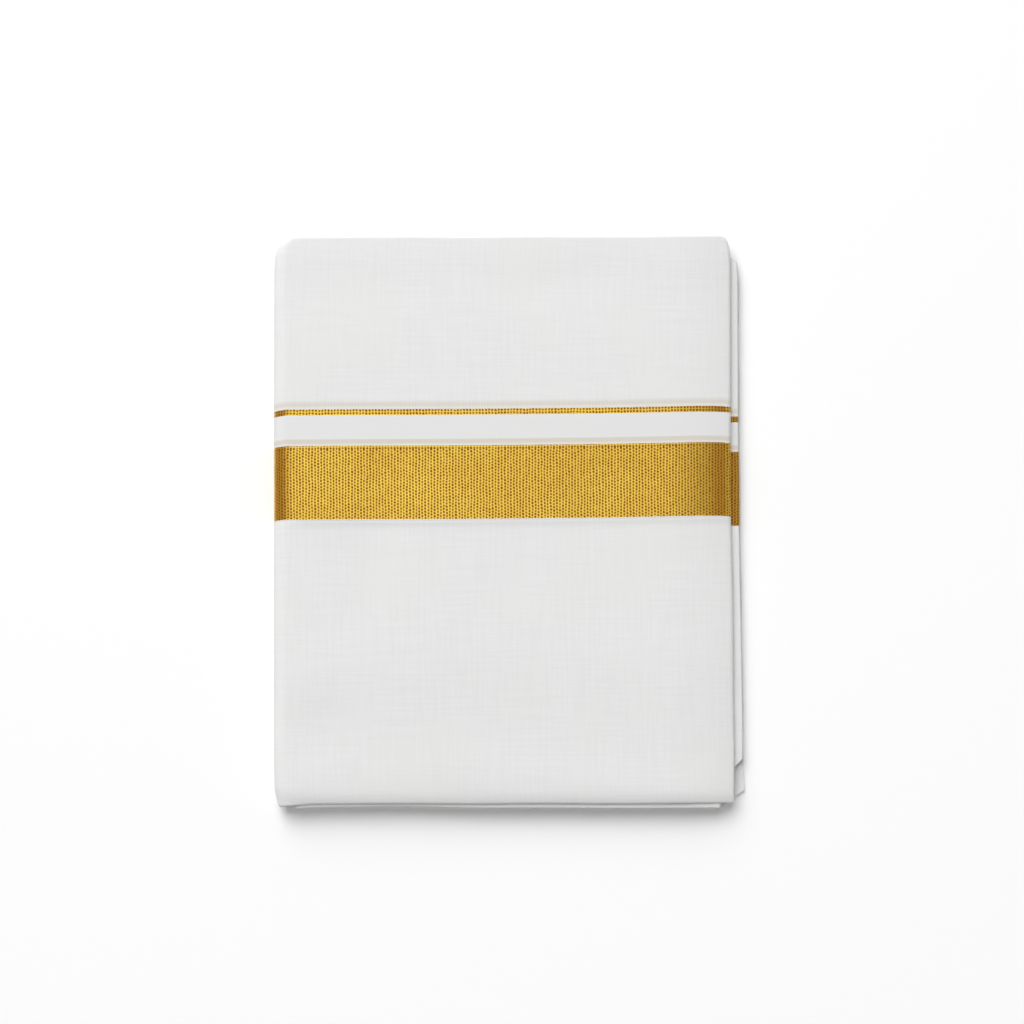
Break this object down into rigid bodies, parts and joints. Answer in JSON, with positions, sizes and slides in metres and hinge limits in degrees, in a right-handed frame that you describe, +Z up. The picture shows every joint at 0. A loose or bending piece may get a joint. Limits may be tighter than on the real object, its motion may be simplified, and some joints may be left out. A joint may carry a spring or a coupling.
{
  "type": "folded dhoti cloth",
  "caption": "White cotton dhoti with a gold zari border, pressed and folded into a flat rectangle that lies on a surface.",
  "frame": {"origin": "under the middle of the folded cloth, on the surface that it lies on", "axes": "+Z up, +Y towards the upper edge of the folded cloth, +X towards the free end at the right"},
  "size_m": [0.264, 0.3215, 0.0133],
  "materials": {
    "cotton": "matte",
    "zari": "satin"
  },
  "bodies": {
    "root": {"upper_panel": "cotton", "zari_line": "zari", "border_ground": "cotton", "zari_band": "zari", "front_panel": "cotton", "second_upper": "cotton", "second_line": "zari", "second_ground": "cotton", "second_band": "zari", "second_lower": "cotton", "hidden_layers": "cotton"}
  },
  "joints": []
}
